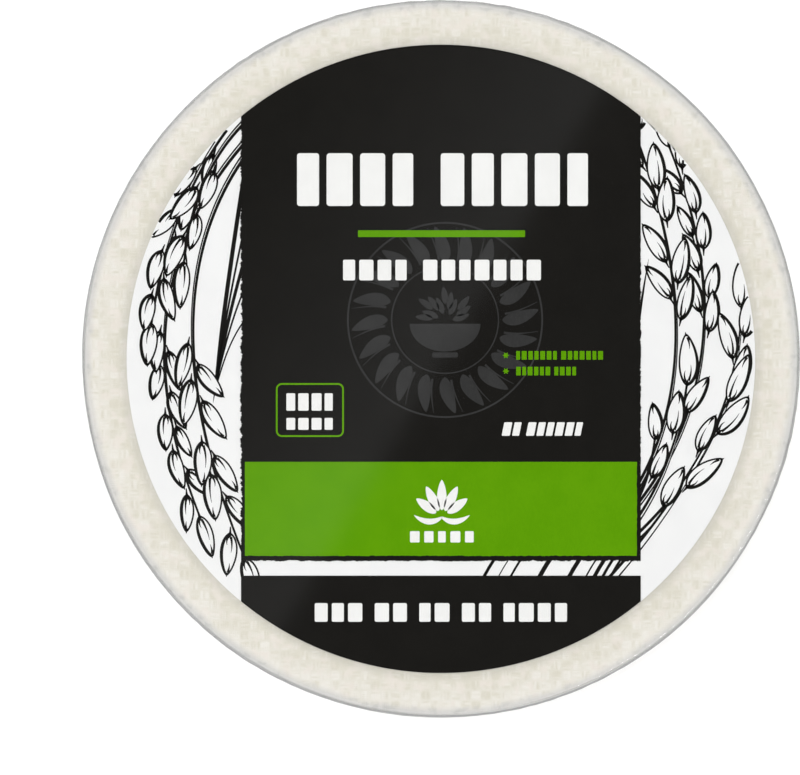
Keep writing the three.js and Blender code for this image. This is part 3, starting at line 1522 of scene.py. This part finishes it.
@dataclass
class RiceEars:
    """The line drawing of rice ears at the right of the panel, and at the left turned round.

    Each thing drawn lies a little over the one before, with a white fill that hides it.

    Attributes:
        printer: the printer of the label.
        ears: the ears of one field, the hindmost first.
        line: the width of the lines.
        rise: how much higher each thing drawn lies than the one before.
        second: the ears of the field that is turned half round.
        shift: where that field goes after its half turn.
        seed: what the chances grow from.
    """

    printer: Printer
    ears: tuple[Ear, ...] = (
        *TALL_EARS,
        Ear(((56.0, -60.0), (93.0, -28.0), (93.5, 16.0)), 4, 0.72, 14.0, wide=1.5),
        Ear(((57.0, -56.0), (73.0, -36.0), (76.5, -8.0)), 3, 0.70, 14.2),
        Ear(((57.0, -50.0), (65.0, -40.0), (66.5, -25.0)), 2, 0.60, 13.0, wide=0.9),
        Ear(((48.0, -74.0), (74.0, -47.0), (90.0, -12.0)), 5, 0.46, 14.4, wide=2.2),
    )
    second: tuple[Ear, ...] = (
        *TALL_EARS,
        Ear(((55.0, -64.0), (80.0, -37.0), (86.0, 6.0)), 9, 0.3, 12.6, wide=1.2),
        Ear(((56.0, -58.0), (73.0, -42.0), (76.0, -12.0)), 5, 0.42, 13.0, wide=1.0),
    )
    line: float = 0.86
    rise: float = 0.00045
    shift: Point = (-4.0, 17.0)
    seed: int = 7

    def grain(self, pens: Pens, level: float, base: Array, lean: float, length: float) -> None:
        """One grain: a white fill, an outline heavier on one side, a neck and inner strokes.

        Args:
            pens: what it is drawn with.
            level: how high the grain is drawn.
            base: where it grows from.
            lean: its direction.
            length: its length.
        """
        chance = pens.chance
        wide = length * chance.uniform(0.31, 0.41)
        bend = chance.uniform(-0.17, 0.17)
        outline = turned_by(grain_outline(length, wide, bend), lean, base)
        facing = 0.5 * (angles(len(outline)) - chance.uniform(0.8, 2.2))
        pens.fill(outline, level)
        pens.line(outline, self.line * (0.62 + 0.6 * np.cos(facing) ** 4), level, closed=True)
        neck = bezier(((-2.2, 0.0), (0.0, 0.0), (1.6, 0.0)), 7)
        swell = np.array([0.3, 0.45, 0.6, 0.85, 0.95, 0.6, 0.1])
        pens.line(turned_by(neck, lean, base), swell, level)
        nib = bezier(((length - 0.6, bend * length), (length + 0.7, bend * length * 1.2)), 5)
        pens.line(turned_by(nib, lean, base), np.linspace(0.8, 0.2, 5), level)
        arch = np.sin(np.linspace(0.4, 2.2, 8))
        side = chance.choice((-1.0, 1.0))
        ticks = ((0.08, chance.uniform(0.4, 0.66), 0.16), (0.05, 0.28, -0.2), (0.95, 0.72, 0.1))
        for start, stop, aside in ticks:
            reach = np.linspace(start, stop, 8) * length
            sway = side * aside * wide * arch + bend * reach**2 / length
            tick = np.stack([reach, sway], axis=1)
            pens.line(turned_by(tick, lean, base), np.linspace(0.85, 0.1, 8), level)

    def stem(self, pens: Pens, ear: Ear, path: Array, side: Array, level: float) -> None:
        """A stalk: a white strip with a line down each side, one of them heavier.

        The strip and its lines thin out from the root to the tip.
        """
        slim = np.linspace(1.0, 0.35, len(path)) ** 1.3
        pens.strip(path, ear.wide * slim, level)
        for way, heavy in ((-0.5, 0.6), (0.5, 1.2)):
            edge = path + side * way * ear.wide * slim[:, None]
            pens.line(edge, self.line * heavy * (0.35 + 0.65 * slim), level)

    def ear(self, pens: Pens, ear: Ear, level: float) -> float:
        """Draws one ear, its stalk first and its grains from the tip down.

        Args:
            pens: what it is drawn with.
            ear: the ear.
            level: how high it is drawn.

        Returns:
            The level for the next ear.
        """
        path = bezier(ear.stalk, 60)
        side = normals(path, False)
        self.stem(pens, ear, path, side, level)
        level += 2.0 * self.rise
        for k, share in enumerate(np.linspace(1.0, ear.bare, ear.grains)):
            share = min(1.0, share + pens.chance.uniform(-0.012, 0.012))
            at = int(round(share * (len(path) - 1)))
            tangent = math.atan2(-side[at, 0], side[at, 1])
            way = 0.0 if k == 0 else ear.side.value[k % len(ear.side.value)]
            lean = tangent + way * math.radians(pens.chance.uniform(6.0, 25.0))
            base = path[at] + side[at] * way * 1.4
            self.grain(pens, level, base, lean, ear.length * pens.chance.uniform(0.82, 1.12))
            level += 2.0 * self.rise
        return level

    def build(self) -> list[Piece]:
        """Draws the ears of both fields, the second field turned half round."""
        fills, lines = self.printer.layer(), self.printer.layer()
        fields = ((self.ears, 0.0, (0.0, 0.0)), (self.second, math.pi, self.shift))
        for ears, turn, shift in fields:
            chance = np.random.default_rng(self.seed)
            pens = Pens(fills, lines, chance, turn, shift, self.rise)
            level = Level.DRAWING.value
            for ear in ears:
                level = self.ear(pens, ear, level)
        return [
            self.printer.print(fills, Ink.PAPER, "print_ear_fills"),
            self.printer.print(lines, Ink.BLACK, "print_ear_lines"),
        ]


@dataclass
class Blades:
    """The dark leaf blade beside the panel, the tip of another, and stalks across the strip.

    Attributes:
        printer: the printer of the label.
        tip: the tip of the leaf blade.
        strokes: how far up each of its strokes reaches, and how wide it is.
        stalks: where each stalk crosses the strip between the panels, and how wide it is.
    """

    printer: Printer
    tip: Point = (-70.8, -13.7)
    strokes: tuple[Point, ...] = (
        (58.0, 1.25),
        (41.0, 0.55),
        (31.0, 0.95),
        (22.0, 0.5),
        (12.0, 0.4),
    )
    stalks: tuple[Point, ...] = (
        (13.7, 1.0),
        (18.2, 0.35),
        (22.0, 0.7),
        (31.0, 1.4),
        (40.2, 1.3),
        (45.4, 0.5),
        (48.0, 1.2),
        (50.6, 0.9),
        (53.0, 0.7),
    )

    def build(self) -> Piece:
        """Draws tapering strokes that meet in the blade's tip, and the slanting stalks."""
        layer = self.printer.layer()
        level = Level.DRAWING.value
        share = np.linspace(0.0, 1.0, 40)
        swell = np.sin(0.5 * math.pi * np.minimum(share * 2.2, 1.0))
        for reach, wide in self.strokes:
            path = bezier((self.tip, (-67.4, 0.3 * reach), (-61.0, reach)), 40)
            layer.stroke(path, 0.08 + wide * swell, level)
        small = bezier(((64.6, 31.0), (63.6, 26.0), (61.5, 12.0)), 20)
        layer.stroke(small, 0.08 + 0.9 * np.linspace(0.0, 1.0, 20), level)
        for x, wide in self.stalks:
            stalk = np.array([[x - 0.6, -68.2], [x + 1.2, -65.0], [x + 3.2, -61.8]])
            layer.stroke(stalk, wide, level)
        return self.printer.print(layer, Ink.BLACK, "print_blades")


# The studio


@dataclass(frozen=True)
class Softbox:
    """A soft rectangular light aimed at the pack.

    A flat light of area A and brightness L at distance d lights a face that it looks at about
    as a disc does, with L A / (d squared + A / pi).

    Attributes:
        name: its name.
        azimuth: its bearing in degrees, anticlockwise from +X.
        elevation: its height over the horizon in degrees.
        distance: how far off it is, in metres.
        size: its two sides, in metres.
        share: how bright it makes a white level face, where 1 is full white.
        mirrored: whether glossy surfaces show it; the big ones only light the pack.
    """

    name: str
    azimuth: float
    elevation: float
    distance: float
    size: Point
    share: float
    mirrored: bool = False

    def build(self) -> Piece:
        """Makes the light, with the power pi squared share (d squared + A / pi) / sin(rise)."""
        data = bpy.data.lights.new(self.name, "AREA")
        data.shape = "RECTANGLE"
        data.size, data.size_y = self.size
        rise, bearing = math.radians(self.elevation), math.radians(self.azimuth)
        spread = self.distance**2 + self.size[0] * self.size[1] / math.pi
        data.energy = self.share * math.pi**2 * spread / math.sin(rise)
        light = bpy.data.objects.new(self.name, data)
        level = self.distance * math.cos(rise)
        light.location = (
            level * math.cos(bearing), level * math.sin(bearing), self.distance * math.sin(rise)
        )
        light.rotation_euler = (0.5 * math.pi - rise, 0.0, bearing + 0.5 * math.pi)
        light.visible_glossy = self.mirrored
        bpy.context.scene.collection.objects.link(light)
        return light


@dataclass(frozen=True)
class Sheen:
    """A dim slanting glow overhead, sharp on its right side, that the flat film mirrors.

    A level mirror at p, seen by a camera that is h above its middle, shows the direction p / h.
    So a line across the label is a line on the sky over the pack, and s is the distance from
    it in such slopes. The glow is (1 + s / fade) to the power 1.5 left of it.

    Attributes:
        across: the direction across the line on the label, towards the dark side.
        offset: how far the line is from the label's middle, in millimetres.
        fade: how far from the line the glow has faded out, in millimetres.
        soft: how soft the line itself is, in millimetres.
        glow: the brightness beside the line, where 1 is full white.
    """

    across: Point = (0.858, -0.514)
    offset: float = 0.2
    fade: float = 88.0
    soft: float = 1.5
    glow: float = 0.345

    def strength(self, nodes: Nodes, way: tuple[Socket, ...], away: float) -> Socket:
        """The glow in each direction.

        Args:
            nodes: the world's tree.
            way: the direction's three parts.
            away: the height of the camera over the label, in millimetres.

        Returns:
            The socket of the brightness.
        """
        level = nodes.math("MAXIMUM", way[2], 0.05)
        slope = -self.offset / away
        for part, factor in ((way[1], self.across[1]), (way[0], self.across[0])):
            slope = nodes.math("MULTIPLY_ADD", nodes.math("DIVIDE", part, level), factor, slope)
        fall = nodes.math("MULTIPLY_ADD", slope, away / self.fade, 1.0)
        fall = nodes.math("POWER", nodes.math("MAXIMUM", fall, 0.0), 1.5)
        soft = self.soft / away
        return nodes.product(fall, nodes.remap(slope, -soft, soft, (self.glow, 0.0)))


@dataclass
class Studio:
    """A pale floor, soft lights and the camera over the pack.

    Attributes:
        size: the pack's sizes.
        lens: the camera's lens, in millimetres.
        sensor: the width of its sensor, in millimetres.
        frame_width: how much the picture takes in across, at the label's height.
        centre: the point of the label in the middle of the picture; the camera hangs over the
            pack's middle, and its lens is shifted by this much.
        horizon: the brightness of the room near the floor.
        walls: its brightness half-way up.
        zenith: the share of that which is left overhead, where the label mirrors it.
        floor_half: half the floor's width.
        floor_drop: how far the floor is under the pack.
        floor_glow: how bright the floor glows by the pack, and further out.
        lights: the softboxes.
    """

    size: PackSize
    lens: float = 100.0
    sensor: float = 36.0
    frame_width: float = 248.6
    centre: Point = (-12.7, -8.9)
    horizon: float = 0.5
    walls: float = 1.2
    zenith: float = 0.009
    floor_half: float = 3000.0
    floor_drop: float = 0.05
    floor_glow: Point = (0.24, 1.0)
    lights: tuple[Softbox, ...] = (
        Softbox("key", 108.0, 46.0, 1.8, (3.0, 1.7), 0.349),
        Softbox("left", 190.0, 40.0, 1.8, (1.8, 1.3), 0.19),
        Softbox("right", 350.0, 40.0, 1.8, (1.8, 1.3), 0.19),
        Softbox("front", 272.0, 38.0, 1.8, (2.0, 1.1), 0.12),
        Softbox("strip", 319.0, 42.0, 1.8, (1.0, 0.03), 0.035, mirrored=True),
    )

    @property
    def away(self) -> float:
        """The camera's height over the label: frame width times lens over sensor width."""
        return self.frame_width * self.lens / self.sensor

    def floor(self) -> Piece:
        """A wide level floor just under the pack, which glows brighter further out."""
        corners = self.floor_half * np.array([[-1.0, -1.0], [1.0, -1.0], [1.0, 1.0], [-1.0, 1.0]])
        points = np.column_stack([corners, np.full(4, -self.floor_drop)])
        floor = make_object("floor", points, [np.array([[0, 1, 2, 3]])], smooth=False)
        material, nodes = new_material("pale_floor")
        place = nodes.place()
        nodes.surface(nodes.add("BsdfPrincipled", {
            "Base Color": nodes.blend(nodes.noise(place, 60.0), (0.79,) * 3, (0.83,) * 3),
            "Roughness": 0.8,
            "Emission Color": WHITE,
            "Emission Strength": nodes.remap(nodes.reach(place), 0.7, 2.4, self.floor_glow),
        }))
        floor.data.materials.append(material)
        return floor

    def room(self) -> bpy.types.World:
        """The surroundings: pale to the camera, and for light paler low down than overhead."""
        world = bpy.data.worlds.new("soft_room")
        world.use_nodes = True
        world.node_tree.nodes.clear()
        nodes = Nodes(world.node_tree)
        way = nodes.parts(nodes.add("TexCoord").outputs["Generated"])
        walls = nodes.remap(way[2], 0.5, 0.75, (self.horizon, self.walls))
        glow = nodes.product(walls, nodes.remap(way[2], 0.72, 0.93, (1.0, self.zenith)))
        glow = nodes.math("ADD", glow, Sheen().strength(nodes, way, self.away))
        seen = nodes.add("LightPath").outputs["Is Camera Ray"]
        strength = nodes.math("MAXIMUM", glow, seen)
        background = nodes.add("Background", {"Color": WHITE, "Strength": strength})
        nodes.add("OutputWorld", {"Surface": background.outputs[0]})
        return world

    def camera(self) -> Piece:
        """The camera, looking straight down from where the lens takes in the frame's width."""
        data = bpy.data.cameras.new("camera")
        data.lens = self.lens
        data.sensor_width = self.sensor
        data.shift_x = self.centre[0] / self.frame_width
        data.shift_y = self.centre[1] / self.frame_width
        camera = bpy.data.objects.new("camera", data)
        camera.location = (0.0, 0.0, (self.size.label_top + self.away) * MM)
        bpy.context.scene.collection.objects.link(camera)
        bpy.context.scene.camera = camera
        return camera

    def build(self) -> None:
        """Builds the room, the floor, the camera and the lights."""
        scene = bpy.context.scene
        scene.world = self.room()
        scene.view_settings.view_transform = "Standard"
        self.floor()
        self.camera()
        for light in self.lights:
            light.build()


def main() -> None:
    """Builds the pack from the inside out, then the studio round it."""
    logging.basicConfig(level=logging.INFO, format="%(message)s")
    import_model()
    size = PackSize.from_frame()
    SheetStack(size).build()
    label = LabelPaper(size)
    label.build()
    printer = Printer(label)
    RiceEars(printer).build()
    Blades(printer).build()
    Fields(printer).build()
    Marks(printer).build()
    ShrinkFilm(size).build()
    Studio(size).build()


if __name__ == "__main__":
    main()
